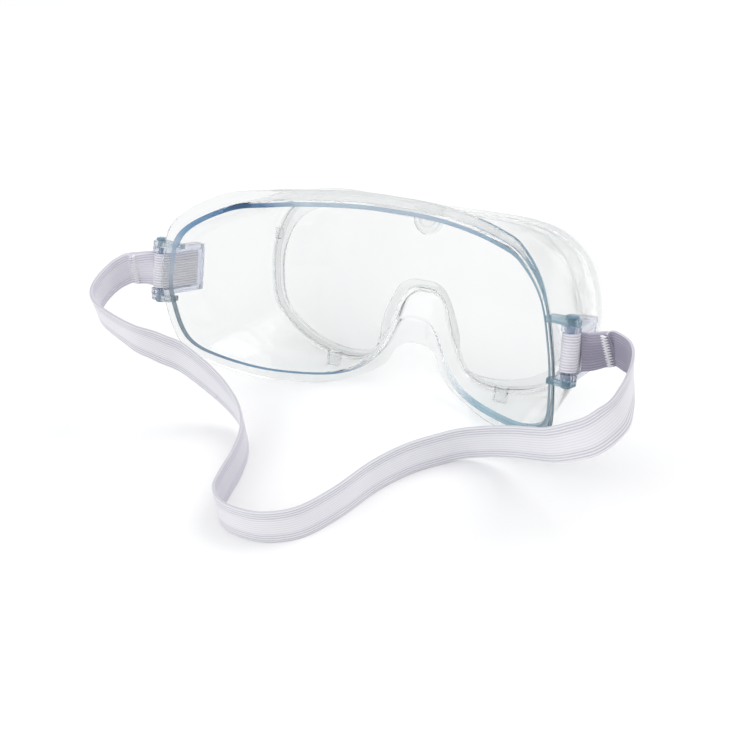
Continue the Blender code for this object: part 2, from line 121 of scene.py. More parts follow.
STRAP_ON_TABLE = [(-35.2, -64.0), (-31.2, -74.4), (-28.8, -84.4), (-26.0, -93.0), (-20.6, -98.4),
                  (-12.6, -100.6), (-1.6, -99.6), (8.4, -92.8), (14.6, -79.6), (19.0, -63.0),
                  (24.6, -51.0), (31.4, -42.6)]
STRAP_RISE_RIGHT = [(39.0, -36.6, 7.2), (49.0, -34.4, 9.2), (60.0, -35.6, 12.8),
                    (70.0, -39.4, 17.4), (78.8, -43.4, 22.2), (88.0, -46.6, 28.2),
                    (97.0, -48.8, 34.8), (103.4, -45.8, 41.0), (105.4, -40.4, 46.2),
                    (104.6, -34.2, 49.8), (101.8, -29.6, 52.6)]
DROP_SPAN, RISE_SPAN = 10, 8        # control points over which the strap leans
DROP_LEAN_LEFT = Vector((0.10, -0.24, 0.97))
RISE_LEAN_RIGHT = Vector((0.0, 0.15, 0.98))
STRAP_STEPS = 8
RIB_PITCH = 0.93
EDGE_RIBS = 3.1                     # ribs further out than this are deep
LEFT_CUT, RIGHT_CUT = 11, 9        # control points in each piece next to a buckle


# Materials ----------------------------------------------------------------------------------------

def srgb(r, g, b):
    """Linear colour from display values of 0 to 255."""
    return tuple(((c / 255 + 0.055) / 1.055) ** 2.4 if c > 10 else c / 255 / 12.92
                 for c in (r, g, b)) + (1.0,)


class Nodes:
    """Short calls for adding and joining a material's nodes."""

    def __init__(self, name):
        self.mat = bpy.data.materials.new(name)
        self.mat.use_nodes = True
        self.tree = self.mat.node_tree
        self.shader = self.tree.nodes["Principled BSDF"]
        self.out = self.tree.nodes["Material Output"]

    def add(self, kind, links=(), **values):
        node = self.tree.nodes.new(kind)
        for key, value in values.items():
            setattr(node, key, value)
        for socket, source in links:
            if isinstance(source, (int, float, tuple)):
                node.inputs[socket].default_value = source
            else:
                self.tree.links.new(source, node.inputs[socket])
        return node

    def math(self, operation, a, b=0.0):
        return self.add("ShaderNodeMath", [(0, a), (1, b)], operation=operation).outputs[0]

    def noise(self, scale, detail=2.0):
        where = self.add("ShaderNodeTexCoord").outputs["Object"]
        node = self.add("ShaderNodeTexNoise", [("Vector", where), ("Scale", scale),
                                               ("Detail", detail)])
        return node.outputs["Fac"]

    def between(self, fac, low, high):
        node = self.add("ShaderNodeMapRange", [("Value", fac), ("To Min", low), ("To Max", high)])
        return node.outputs[0]

    def mix(self, fac, a, b):
        node = self.add("ShaderNodeMix", [("Factor", fac)], data_type='RGBA')
        for index, source in ((6, a), (7, b)):
            if isinstance(source, tuple):
                node.inputs[index].default_value = source
            else:
                self.tree.links.new(source, node.inputs[index])
        return node.outputs[2]

    def ramp(self, fac, stops):
        node = self.add("ShaderNodeValToRGB", [("Fac", fac)])
        while len(node.color_ramp.elements) < len(stops):
            node.color_ramp.elements.new(0.5)
        for element, (place, colour) in zip(node.color_ramp.elements, stops):
            element.position = place
            element.color = colour
        return node.outputs[0]

    def bump(self, height, strength, distance):
        node = self.add("ShaderNodeBump", [("Height", height), ("Strength", strength),
                                           ("Distance", distance)])
        self.link(node.outputs[0], "Normal")

    def link(self, source, socket):
        self.tree.links.new(source, self.shader.inputs[socket])

    def set(self, **values):
        for key, value in values.items():
            self.shader.inputs[key.replace("_", " ")].default_value = value

    def let_light_through(self, colour):
        """Lamps reach what is behind the plastic."""
        clear = self.add("ShaderNodeBsdfTransparent", [("Color", colour)])
        path = self.add("ShaderNodeLightPath")
        mixed = self.add("ShaderNodeMixShader", [(0, path.outputs["Is Shadow Ray"]),
                                                 (1, self.shader.outputs[0]),
                                                 (2, clear.outputs[0])])
        self.tree.links.new(mixed.outputs[0], self.out.inputs["Surface"])


def clear_plastic(name, colour, ior, roughness, transmission, waves, wave_depth, colour_ends=None):
    """See-through moulded plastic with faint flow waves and slightly uneven gloss."""
    n = Nodes(name)
    n.set(Base_Color=colour, IOR=ior, Transmission_Weight=transmission, Coat_Weight=COAT_WEIGHT,
          Coat_IOR=COAT_IOR, Coat_Roughness=COAT_ROUGHNESS)
    if colour_ends:
        n.link(n.mix(n.noise(18.0), *colour_ends), "Base Color")
    n.link(n.between(n.noise(90.0, 3.0), *roughness), "Roughness")
    n.bump(n.noise(waves, 1.0), 0.6, wave_depth)
    n.let_light_through(tuple(0.5 + 0.5 * c for c in colour[:3]) + (1.0,))
    return n.mat


def across_x(n, low, high):
    """The piece's place across the goggles, 0 at low and 1 at high, in metres."""
    where = n.add("ShaderNodeTexCoord").outputs["Object"]
    split = n.add("ShaderNodeSeparateXYZ", [(0, where)])
    place = n.add("ShaderNodeMapRange", [("Value", split.outputs[0]), ("From Min", low),
                                         ("From Max", high)]).outputs[0]
    return place, split.outputs[0], split.outputs[2]


def tinted_edge():
    """The bead's coloured edge: blue on the left, pale over the brow, teal on the right, and
    clear over the nose. The colours are laid by place, judged from the photo, and may be
    an edge effect in the real object."""
    n = Nodes("tinted_edge")
    place, x, z = across_x(n, -0.082, 0.077)
    uneven = n.math('MULTIPLY', n.noise(35.0), 0.04)
    along = n.math('ADD', place, n.math('SUBTRACT', uneven, 0.02))
    above = n.ramp(along, [(0.0, srgb(196, 206, 214)), (0.045, srgb(96, 136, 174)),
                           (0.09, srgb(70, 112, 156)), (0.19, srgb(78, 116, 158)),
                           (0.27, srgb(168, 188, 202)), (0.55, srgb(160, 176, 196)),
                           (0.80, srgb(112, 148, 170)), (1.0, srgb(90, 132, 152))])
    below = n.ramp(along, [(0.0, srgb(116, 132, 138)), (0.13, srgb(96, 132, 162)),
                           (0.45, srgb(100, 138, 170)), (0.72, srgb(140, 172, 186)),
                           (1.0, srgb(90, 136, 156))])
    from_nose = n.math('ABSOLUTE', n.math('ADD', x, -NOSE_X))
    side = n.add("ShaderNodeMapRange", [("Value", from_nose), ("From Min", 0.012),
                                        ("From Max", 0.030)]).outputs[0]
    brow = n.add("ShaderNodeMapRange", [("Value", z), ("From Min", 0.045),
                                        ("From Max", 0.055)]).outputs[0]
    tint = n.math('MAXIMUM', side, brow)
    colours = n.mix(brow, below, above)
    n.link(n.mix(tint, srgb(246, 248, 250), colours), "Base Color")
    n.link(n.between(tint, 1.0, 0.4), "Transmission Weight")
    n.set(IOR=TINT_IOR)
    n.link(n.between(n.noise(80.0, 3.0), 0.10, 0.25), "Roughness")
    n.bump(n.noise(300.0, 1.0), 0.3, 0.0001)
    n.let_light_through(srgb(225, 235, 240))
    return n.mat


def ear_plastic():
    """Clear ears that take up more of the teal on the right."""
    n = Nodes("ear_plastic")
    place = across_x(n, -0.09, 0.085)[0]
    tone = n.ramp(place, [(0.0, srgb(212, 220, 226)), (0.55, srgb(206, 217, 223)),
                          (1.0, srgb(150, 182, 196))])
    n.link(n.mix(n.math('MULTIPLY', n.noise(160.0), 0.4), tone, srgb(236, 241, 244)),
           "Base Color")
    n.set(IOR=EAR_IOR, Transmission_Weight=0.8)
    n.link(n.between(n.noise(90.0), 0.06, 0.16), "Roughness")
    n.bump(n.noise(250.0, 1.0), 0.3, 0.0001)
    n.let_light_through(srgb(225, 233, 238))
    return n.mat


def elastic(name, light, shade, groove, middle, far_end_painted_shade=None):
    """Knitted elastic: ribs along the strap, a fine cross weave and a soft sheen. The groove
    colour is painted shade, laid in the rib grooves (deeper towards the edges) and between the
    yarns of the weave. The colour for the far end is painted shade, darker towards the wearer's
    right. The real cloth is one colour."""
    n = Nodes(name)
    uv = n.add("ShaderNodeUVMap", uv_map="strap").outputs[0]
    split = n.add("ShaderNodeSeparateXYZ", [(0, uv)])
    along, across = split.outputs[0], split.outputs[1]
    rib = n.math('COSINE', n.math('MULTIPLY', across, 2 * math.pi / RIB_PITCH))
    rib = n.between(rib, 0.0, 1.0)
    rib.node.inputs["From Min"].default_value = -1.0
    yarn = n.math('SINE', n.math('MULTIPLY', along, 2 * math.pi / 0.62))
    course = n.math('SINE', n.math('MULTIPLY', across, 4 * math.pi / RIB_PITCH))
    weave = n.math('MULTIPLY', yarn, course)
    speck = n.noise(1400.0, 2.0)
    cloud = n.noise(45.0, 2.0)
    base = n.mix(n.between(cloud, 0.0, 1.0), light, shade)
    to_edge = n.add("ShaderNodeMapRange", [("Value", n.math('ABSOLUTE', across)),
                                           ("From Min", 2.4), ("From Max", 3.6),
                                           ("To Min", middle), ("To Max", 0.75)]).outputs[0]
    # Painted shade: the colour darkens towards the wearer's right.
    if far_end_painted_shade:
        base = n.mix(across_x(n, -0.06, 0.07)[0], base, far_end_painted_shade)
    # Painted shade in the rib grooves, deeper towards the edges, and between the yarns.
    painted_groove_shade = n.mix(n.math('MULTIPLY', rib, to_edge), base, groove)
    fine = n.mix(n.between(n.math('MULTIPLY', n.math('ADD', weave, 1.0), 0.5), 0.0, 0.16),
                 painted_groove_shade, groove)
    n.link(fine, "Base Color")
    n.link(n.between(speck, 0.72, 0.95), "Roughness")
    n.set(Sheen_Weight=0.35, Sheen_Roughness=0.5)
    height = n.math('ADD', n.math('MULTIPLY', weave, 0.5), n.math('MULTIPLY', speck, 0.7))
    n.bump(height, 0.55, 0.00012)
    return n.mat


def thread(name):
    """Twisted sewing thread."""
    n = Nodes(name)
    where = n.add("ShaderNodeTexCoord").outputs["Object"]
    twist = n.add("ShaderNodeTexWave", [("Vector", where), ("Scale", 900.0)],
                  bands_direction='DIAGONAL').outputs["Fac"]
    n.link(n.mix(twist, srgb(254, 254, 255), srgb(244, 244, 250)), "Base Color")
    n.link(n.between(n.noise(1500.0), 0.5, 0.75), "Roughness")
    n.bump(twist, 0.5, 0.00008)
    return n.mat


# Mesh helpers -------------------------------------------------------------------------------------

def piece(name, verts, faces, mats, matrix=STAND, smooth=40.0, slots=None, uvs=None):
    """Make a piece from points in millimetres, placed by matrix, with its mesh at the origin."""
    mesh = bpy.data.meshes.new(name)
    mesh.from_pydata([(matrix @ Vector(v)) * MM for v in verts], [], faces)
    for mat in mats if isinstance(mats, (list, tuple)) else [mats]:
        mesh.materials.append(mat)
    if slots:
        for polygon, slot in zip(mesh.polygons, slots):
            polygon.material_index = slot
    if uvs:
        layer = mesh.uv_layers.new(name="strap")
        corners = [uv for face in uvs for uv in face]
        for loop, uv in zip(layer.data, corners):
            loop.uv = uv
    shape = bmesh.new()
    shape.from_mesh(mesh)
    bmesh.ops.recalc_face_normals(shape, faces=shape.faces)
    for face in shape.faces:
        face.smooth = True
    for edge in shape.edges:
        if len(edge.link_faces) == 2 and edge.calc_face_angle(0.0) > math.radians(smooth):
            edge.smooth = False
    shape.to_mesh(mesh)
    shape.free()
    obj = bpy.data.objects.new(name, mesh)
    bpy.context.scene.collection.objects.link(obj)
    return obj


def baked(obj):
    """Turn the object's modifiers into its mesh."""
    shown = obj.evaluated_get(bpy.context.evaluated_depsgraph_get())
    mesh = bpy.data.meshes.new_from_object(shown)
    obj.modifiers.clear()
    obj.data = mesh
    return obj


def joined(obj, tool, operation):
    """Join a solid on, or cut it out, and throw the tool away."""
    modifier = obj.modifiers.new("join", 'BOOLEAN')
    modifier.operation = operation
    modifier.solver = 'EXACT'
    modifier.object = tool
    baked(obj)
    bpy.data.objects.remove(tool, do_unlink=True)
    return obj


def bevelled(obj, width, segments=3, angle=35.0):
    """Round the sharp edges, width in millimetres."""
    modifier = obj.modifiers.new("round", 'BEVEL')
    modifier.width = width * MM
    modifier.segments = segments
    modifier.limit_method = 'ANGLE'
    modifier.angle_limit = math.radians(angle)
    modifier.harden_normals = True
    baked(obj)
    for polygon in obj.data.polygons:
        polygon.use_smooth = True
    return obj


def smooth_path(points, steps, closed):
    """Catmull-Rom curve through the points."""
    count = len(points)
    last = count if closed else count - 1
    path = []
    for i in range(last):
        if closed:
            a, b, c, d = (points[(i + k) % count] for k in (-1, 0, 1, 2))
        else:
            b, c = points[i], points[i + 1]
            a = points[i - 1] if i > 0 else b * 2 - c
            d = points[i + 2] if i + 2 < count else c * 2 - b
        for j in range(steps):
            t = j / steps
            path.append(0.5 * (2 * b + (c - a) * t + (2 * a - 5 * b + 4 * c - d) * t * t
                               + (3 * b - a - 3 * c + d) * t * t * t))
    if not closed:
        path.append(points[-1].copy())
    return path


def arc(centre, radius, start, end, count):
    """Points along an arc in XY, in degrees."""
    angles = [math.radians(start + (end - start) * i / (count - 1)) for i in range(count)]
    return [(centre[0] + radius * math.cos(a), centre[1] + radius * math.sin(a)) for a in angles]


def disc(centre, radius, count=48):
    return arc(centre, radius, 0, 360 - 360 / count, count)


def prism(outline, low, high):
    """Points and faces of a flat outline in XY, raised from low to high."""
    count = len(outline)
    verts = [(x, y, low) for x, y in outline] + [(x, y, high) for x, y in outline]
    faces = [tuple(range(count))[::-1], tuple(range(count, 2 * count))]
    faces += [(i, (i + 1) % count, (i + 1) % count + count, i + count) for i in range(count)]
    return verts, faces


def box(low, high):
    outline = [(low[0], low[1]), (high[0], low[1]), (high[0], high[1]), (low[0], high[1])]
    return prism(outline, low[2], high[2])


def front_to_back(outline_xz, front, back):
    """Solid with an outline in X and Z, between two depths behind the front face."""
    verts, faces = prism(outline_xz, front, back)
    return [(x, FRONT_FACE - y, z) for x, z, y in verts], faces


def merge(*solids):
    """Put several sets of points and faces in one mesh."""
    verts, faces = [], []
    for part_verts, part_faces in solids:
        start = len(verts)
        verts += list(part_verts)
        faces += [tuple(start + i for i in face) for face in part_faces]
    return verts, faces


def turned(profile, count=40):
    """Points and faces of a profile of (radius, height) turned about Z, closed on the axis."""
    verts = [(r * math.cos(2 * math.pi * i / count), r * math.sin(2 * math.pi * i / count), z)
             for r, z in profile for i in range(count)]
    faces = [tuple(range(count))[::-1]]
    for k in range(len(profile) - 1):
        for i in range(count):
            a, b = k * count + i, k * count + (i + 1) % count
            faces.append((a, b, b + count, a + count))
    top = (len(profile) - 1) * count
    faces.append(tuple(range(top, top + count)))
    return verts, faces


def tube(path, radius, sides=8):
    """A round thread along a path, closed at both ends."""
    verts, faces = [], []
    last = len(path) - 1
    side = None
    for i, point in enumerate(path):
        along = (path[min(i + 1, last)] - path[max(i - 1, 0)]).normalized()
        if side is None:
            side = along.orthogonal().normalized()
        side = (side - along * side.dot(along)).normalized()
        other = along.cross(side)
        verts += [point + (side * math.cos(2 * math.pi * k / sides)
                           + other * math.sin(2 * math.pi * k / sides)) * radius
                  for k in range(sides)]
    for i in range(last):
        for k in range(sides):
            a, b = i * sides + k, i * sides + (k + 1) % sides
            faces.append((a, b, b + sides, a + sides))
    faces.append(tuple(range(sides))[::-1])
    faces.append(tuple(range(last * sides, (last + 1) * sides)))
    return verts, faces


# Goggle outlines ----------------------------------------------------------------------------------

def outline(half_width, brow, lobe, nose, nose_half, square):
    """A closed goggle outline in the drawing's X and Z, from mid brow round by the right."""
    w = half_width
    right = [
        (0.00 * w, brow * 0.985),
        (0.20 * w, brow * 0.993),
        (0.40 * w, brow),
        (0.60 * w, brow * (0.99 + 0.02 * square)),
        (0.77 * w, brow * (0.91 + 0.09 * square)),
        ((0.91 + 0.03 * square) * w, brow * (0.70 + 0.10 * square)),
        ((0.985 + 0.01 * square) * w, brow * (0.36 + 0.02 * square)),
        (1.00 * w, brow * 0.02),
        (0.965 * w, lobe * 0.43),
        (0.86 * w, lobe * 0.70),
        (0.68 * w, lobe * 0.92),
        (0.46 * w, lobe),
        (0.29 * w, lobe * (0.88 + 0.04 * square)),
        (nose_half * 1.65, nose * 0.46 + lobe * 0.54),
        (nose_half * 1.12, nose * 0.84 + lobe * 0.16),
        (nose_half * 0.62, nose * 0.98 + lobe * 0.02),
        (0.00, nose),
    ]
    left = [(-x, z) for x, z in right[-2:0:-1]]
    points = [Vector((x, z, 0.0)) for x, z in right + left]
    return smooth_path(points, OUTLINE_STEPS, closed=True)


def grown(points, amount):
    count = len(points)
    result = []
    for i, point in enumerate(points):
        along = (points[(i + 1) % count] - points[i - 1]).normalized()
        result.append(point + Vector((-along.y, along.x, 0.0)) * amount)
    return result


def between(inner, outer, share):
    return [o.lerp(i, share) for i, o in zip(inner, outer)]


def nose_step(point):
    """How far the face contour steps forward over the nose."""
    low = min(max(-point.y / 12.0, 0.0), 1.0)
    return NOSE_FORWARD * low * math.exp(-(point.x / NOSE_SPREAD) ** 2)


def on_face(points, forward):
    tilt = Matrix.Rotation(FACE_TILT, 3, 'X')
    return [tilt @ Vector((p.x, forward + nose_step(p) - FACE_BEND * p.x * p.x, p.y))
            for p in points]


def on_front(points, behind):
    return [Vector((p.x, FRONT_FACE - behind, p.y)) for p in points]


def ring_shell(rings):
    """Join closed rings into a band, and the last ring back to the first."""
    count = len(rings[0])
    verts = [v for ring in rings for v in ring]
    faces = []
    for k in range(len(rings)):
        nxt = (k + 1) % len(rings)
        for i in range(count):
            j = (i + 1) % count
            faces.append((k * count + i, k * count + j, nxt * count + j, nxt * count + i))
    return verts, faces


def rounded(rings, radii):
    """Replace each corner ring of a closed section with rings that round the corner."""
    result = []
    count = len(rings)
    for k, radius in enumerate(radii):
        before, here, after = rings[k - 1], rings[k], rings[(k + 1) % count]
        for j in range(CORNER_STEPS):
            t = j / (CORNER_STEPS - 1)
            ring = []
            for b, p, a in zip(before, here, after):
                to_b, to_a = b - p, a - p
                reach = min(radius, 0.42 * to_b.length, 0.42 * to_a.length)
                start = p + to_b.normalized() * reach
                end = p + to_a.normalized() * reach
                ring.append(start * (1 - t) ** 2 + p * 2 * t * (1 - t) + end * t * t)
            result.append(ring)
    return result


# Frame, lens and ears -----------------------------------------------------------------------------

def tint_slot(ring, point):
    """1 where the bead's edge is tinted: widest on the right, thinnest under the left buckle."""
    flat = 2 * CORNER_STEPS - 1
    brow = point.z > TINT_BROW
    right = point.x > (TINT_FROM_BROW if brow else TINT_FROM)
    low = 0 if right else flat - 2 if brow else flat
    high = flat + 2 if brow or right else flat
    return 1 if low <= ring <= high else 0


def build_frame(clear, edge):
    bead, lip = outline(**BEAD), outline(**LIP)
    inner, outer = outline(**RIM_INNER), outline(**RIM_OUTER)
    front = RIM_LIP_DEPTH
    back = front + LENS_THICKNESS + 2 * GROOVE_GAP
    half_wall = WALL / 2
    corners = [
        (on_face(grown(bead, -half_wall), 0.9), 0.5),
        (on_face(grown(bead, -half_wall), -0.5), 0.5),
        (on_face(grown(bead, half_wall), -0.5), 0.35),
        (on_face(lip, -0.1), 0.65),
        (on_face(lip, LIP_THICKNESS - 0.2), 0.55),
        (on_face(grown(bead, half_wall), LIP_THICKNESS), 1.2),
        (on_front(outer, 3.4), 1.6),
        (on_front(between(inner, outer, 0.06), 0.0), 0.7),
        (on_front(between(inner, outer, 0.45), 0.0), 0.5),
        (on_front(between(inner, outer, 0.45), front), 0.25),
        (on_front(between(inner, outer, 0.25), front), 0.12),
        (on_front(between(inner, outer, 0.25), back), 0.12),
        (on_front(inner, back), 0.4),
        (on_front(inner, back + LEDGE_DEPTH), 0.5),
        (on_front(between(inner, outer, 0.27), back + LEDGE_DEPTH), 0.9),
    ]
    rings = rounded([c[0] for c in corners], [c[1] for c in corners])
    verts, faces = ring_shell(rings)
    count = len(rings[0])
    slots = [tint_slot(face[0] // count, verts[face[0]]) for face in faces]
    shell = piece("frame_shell", verts, faces, [clear, edge], slots=slots, smooth=60.0)
    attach(shell, "goggles")
    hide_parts("frame")


def build_ears(edge):
    near, far = EAR_INNER, EAR_INNER + EAR_THICKNESS
    for side, word in ((1, "right"), (-1, "left")):
        solids = []
        for root, low, high in ((74.9, near, far), (77.1, -far, -near)):
            px, py = PIVOT.x, PIVOT.y
            points = arc((px, py), EAR_RADIUS, -90, 90, 19)
            points += [(root, py + EAR_RADIUS - 0.4), (root, py - EAR_RADIUS + 0.6)]
            points = [(side * x, y) for x, y in points]
            solids.append(prism(points, PIVOT.z + low, PIVOT.z + high))
        ears = piece("ears_" + word, *merge(*solids), edge)
        hole = prism(disc((side * PIVOT.x, PIVOT.y), PIN_HOLE_RADIUS), PIVOT.z - 14, PIVOT.z + 14)
        joined(ears, piece("hole", *hole, edge), 'DIFFERENCE')
        bevelled(ears, 0.3)
        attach(ears, "goggles")


def build_lugs(clear):
    """Brow tab with its two raised arcs, and the four lugs that back the lens ledge."""
    back = RIM_LIP_DEPTH + LENS_THICKNESS + 2 * GROOVE_GAP
    solids = [front_to_back(arc((0.0, 28.6), 6.2, 180, 360, 33), back + 0.2, back + 1.4)]
    for outer, inner in ((5.6, 5.0), (3.6, 3.0)):
        crescent = arc((0.0, 28.6), outer, 184, 356, 33) + arc((0.0, 28.6), inner, 356, 184, 33)
        solids.append(front_to_back(crescent, back + 1.3, back + 1.9))
    for x, z, half_x, half_z, low, high in ((65.0, 13.5, 1.6, 2.2, 0.8, 2.6),
                                            (36.2, -31.3, 2.6, 3.15, 0.4, 3.2)):
        for side in (1, -1):
            corners = [(side * x - half_x, z - half_z), (side * x + half_x, z - half_z),
                       (side * x + half_x, z + half_z), (side * x - half_x, z + half_z)]
            solids.append(front_to_back(corners, back + low, back + high))
    lugs = bevelled(piece("rim_lugs", *merge(*solids), clear), 0.25)
    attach(lugs, "goggles")


def build_lens(mat):
    inner, outer = outline(**RIM_INNER), outline(**RIM_OUTER)
    edge = [(p.x, p.y) for p in between(inner, outer, 0.30)]
    front = RIM_LIP_DEPTH + GROOVE_GAP
    pane = piece("lens_pane", *front_to_back(edge, front, front + LENS_THICKNESS), mat)
    bevelled(pane, 0.25, 2, 60.0)
    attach(pane, "goggles")
    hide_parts("lens")


# Buckles and pins ---------------------------------------------------------------------------------

def buckle_matrix(side):
    place = Matrix.Translation((side * PIVOT.x, PIVOT.y, PIVOT.z))
    return STAND @ place @ Matrix.Rotation(side * BUCKLE_TOE_IN, 4, 'Z')


def build_pin(side, word, mat):
    reach = EAR_INNER + EAR_THICKNESS
    profile = [(0.9, -reach - 1.0), (1.5, -reach - 0.85), (1.7, -reach - 0.55),
               (1.7, -reach - 0.3), (PIN_RADIUS, -reach - 0.25), (PIN_RADIUS, reach + 0.25),
               (PIN_HEAD_RADIUS, reach + 0.3), (PIN_HEAD_RADIUS, reach + 0.75),
               (2.0, reach + 1.05), (1.5, reach + 1.24), (0.8, reach + 1.3)]
    place = STAND @ Matrix.Translation((side * PIVOT.x, PIVOT.y, PIVOT.z))
    pin = piece("pin_" + word, *turned(profile), mat, place)
    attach(pin, "goggles")
    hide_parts("pivot_pin_" + word)


def build_buckle(side, word, mat):
    near, far = CHEEK_INNER, CHEEK_INNER + CHEEK_THICKNESS
    w, length = CHEEK_HALF_WIDTH, BUCKLE_LENGTH
    cheek = arc((0, 0), w, 180, 360, 25)
    cheek += [(w, length * 0.5), (w - 0.3, length - 1.0), (w - 1.2, length)]
    cheek += [(-w + 1.2, length), (-w + 0.3, length - 1.0), (-w, length * 0.5)]
    matrix = buckle_matrix(side)
    buckle = piece("housing_" + word, *merge(prism(cheek, near, far), prism(cheek, -far, -near)),
                   mat, matrix)
    bar = prism(disc((0.0, BAR_FORWARD), BAR_RADIUS, 32), -near - 0.8, near + 0.8)
    end = box((-2.6, length - 0.3 - END_WALL, -near - 0.8), (2.6, length - 0.3, near + 0.8))
    hole = prism(disc((0.0, 0.0), PIN_HOLE_RADIUS), -far - 1, far + 1)
    joined(buckle, piece("bars", *merge(bar, end), mat, matrix), 'UNION')
    joined(buckle, piece("hole", *hole, mat, matrix), 'DIFFERENCE')
    bevelled(buckle, 0.32)
    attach(buckle, word + "_buckle")
    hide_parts("buckle_" + word)


# Strap --------------------------------------------------------------------------------------------

def section(thickness, edge_depth, middle_depth):
    """The strap's ribbed cross-section as (out, up) points round it, and each point's UV place."""
    half_w, half_t = STRAP_WIDTH / 2, thickness / 2
    steps = int(half_w / (RIB_PITCH / 4))
    ups = [k * RIB_PITCH / 4 for k in range(-steps, steps + 1)]
    front = []
    for up in ups:
        depth = edge_depth if abs(up) > EDGE_RIBS else middle_depth
        groove = 0.5 + 0.5 * math.cos(2 * math.pi * up / RIB_PITCH)
        fade = min(1.0, (half_w - abs(up)) / 0.6)
        front.append((half_t * (0.72 + 0.28 * fade) - depth * groove, up))
    back = [(-out, up) for out, up in reversed(front)]
    return front + [(0.0, half_w)] + back + [(0.0, -half_w)]


def band(path, ups, profile, closed=False, taper=None, inner="back"):
    """A strap along a path: points, faces, UVs in millimetres along and across, its length, and
    each face's material slot, which is 1 on the side that looks at the head."""
    verts, faces, uvs, slots = [], [], [], []
    wide = len(profile) // 2 - 1
    inner_side = {"front": range(wide), "back": range(wide + 1, 2 * wide + 1), "": ()}[inner]
    count, last = len(profile), len(path) - 1
    lengths = [0.0]
    for a, b in zip(path, path[1:] + path[:1]):
        lengths.append(lengths[-1] + (b - a).length)
    for i, point in enumerate(path):
        ahead = path[(i + 1) % len(path)] if closed else path[min(i + 1, last)]
        behind = path[i - 1] if closed else path[max(i - 1, 0)]
        along = (ahead - behind).normalized()
        up = (ups[i] - along * ups[i].dot(along)).normalized()
        out = along.cross(up)
        thin = taper(lengths[i], lengths[last]) if taper else 1.0
        verts += [point + out * (a * thin) + up * b for a, b in profile]
    for i in range(last + 1 if closed else last):
        j = (i + 1) % len(path)
        for k in range(count):
            m = (k + 1) % count
            faces.append((i * count + k, i * count + m, j * count + m, j * count + k))
            uvs.append([(lengths[i], profile[k][1]), (lengths[i], profile[m][1]),
                        (lengths[i + 1], profile[m][1]), (lengths[i + 1], profile[k][1])])
            slots.append(1 if k in inner_side else 0)
    if not closed:
        for i, ring in ((0, range(count)), (last, reversed(range(count)))):
            ring = list(ring)
            faces.append(tuple(i * count + k for k in ring))
            uvs.append([(lengths[i], profile[k][1]) for k in ring])
            slots.append(0)
    return verts, faces, uvs, lengths[last + 1 if closed else last], slots


def merge_bands(*bands):
    verts, faces = merge(*[(b[0], b[1]) for b in bands])
    return verts, faces, [uv for b in bands for uv in b[2]], [s for b in bands for s in b[4]]


def tail_path(tail, turn):
    points = [Matrix.Rotation(-turn, 3, 'Z') @ p for p in tail]
    return smooth_path(points, 6, closed=False)


def tail_ups(path, turn):
    """The tail turns from the buckle's lean to upright as it leaves the buckle."""
    upright = (Matrix.Rotation(-turn, 3, 'Z') @ Matrix.Rotation(REST_LEAN, 3, 'X')
               @ Vector((0, 0, 1)))
    last = len(path) - 1
    return [Vector((0, 0, 1)).lerp(upright, min(1.0, 1.4 * i / last)) for i in range(last + 1)]


def build_loop(side, word, tail, cloth):
    """One strap end: looped round the pin and the bar, its two layers sewn into a tail."""
    racetrack = [Vector((x, y, 0.0)) for x, y in
                 arc((0, 0), LOOP_RADIUS, 180, 360, 25)
                 + arc((0, BAR_FORWARD), LOOP_RADIUS, 0, 180, 25)]
    upright = Vector((0, 0, 1))
    ring = band(racetrack, [upright] * len(racetrack), section(STRAP_THICKNESS, 0.2, 0.16), True,
                inner="")
    path = tail_path(tail, side * BUCKLE_TOE_IN)
    sewn = band(path, tail_ups(path, side * BUCKLE_TOE_IN), section(2 * STRAP_THICKNESS, 0.2, 0.12),
                taper=lambda s, full: 1.0 - 0.44 * max(0.0, 1.0 - (full - s) / 1.0),
                inner="front" if side > 0 else "back")
    verts, faces, uvs, slots = merge_bands(ring, sewn)
    loop = piece("strap_end_" + word, verts, faces, cloth, buckle_matrix(side), uvs=uvs,
                 slots=slots)
    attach(loop, word + "_buckle")
    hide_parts("strap_loop_" + word)


def build_stitching(side, word, tail, mat):
    """Zigzag thread across the sewn tail, on the face that looks at the wearer's head."""
    path = tail_path(tail, side * BUCKLE_TOE_IN)
    along = (path[-1] - path[-5]).normalized()
    centre = path[-1] - along * 1.6
    up = tail_ups(path, side * BUCKLE_TOE_IN)[-1]
    up = (up - along * up.dot(along)).normalized()
    out = along.cross(up) * (1 if side > 0 else -1)
    threads = []
    for lift, reach, shift in STITCH_ROWS:
        base = centre + out * (STRAP_THICKNESS + 0.02 + lift) + along * shift
        zigzag = [base + along * (reach if k % 2 else -reach)
                  + up * ((k / STITCH_TEETH - 0.5) * (STRAP_WIDTH - 1.0))
                  for k in range(STITCH_TEETH + 1)]
        threads.append(tube(zigzag, THREAD_RADIUS, 8))
    stitches = piece("stitches_" + word, *merge(*threads), mat, buckle_matrix(side), 70.0)
    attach(stitches, word + "_buckle")
    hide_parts("stitching_" + word)


def seam_end(side, tail):
    pivot = Vector((side * PIVOT.x, PIVOT.y, PIVOT.z))
    path = smooth_path(tail, 3, closed=False)
    end, before = STAND @ (pivot + path[-1]), STAND @ (pivot + path[-2])
    return end, (end - before).normalized()


def middle_ups(count):
    """The strap stands upright on the table and leans over where it hangs from each buckle."""
    ups = []
    for i in range(count):
        from_left, from_right = i / STRAP_STEPS, (count - 1 - i) / STRAP_STEPS
        up = Vector((0, 0, 1))
        if from_left < DROP_SPAN:
            up = up.lerp(DROP_LEAN_LEFT, math.sin(math.pi * from_left / DROP_SPAN))
        if from_right < RISE_SPAN:
            up = up.lerp(RISE_LEAN_RIGHT, math.sin(math.pi * from_right / RISE_SPAN))
        ups.append(up.normalized())
    return ups


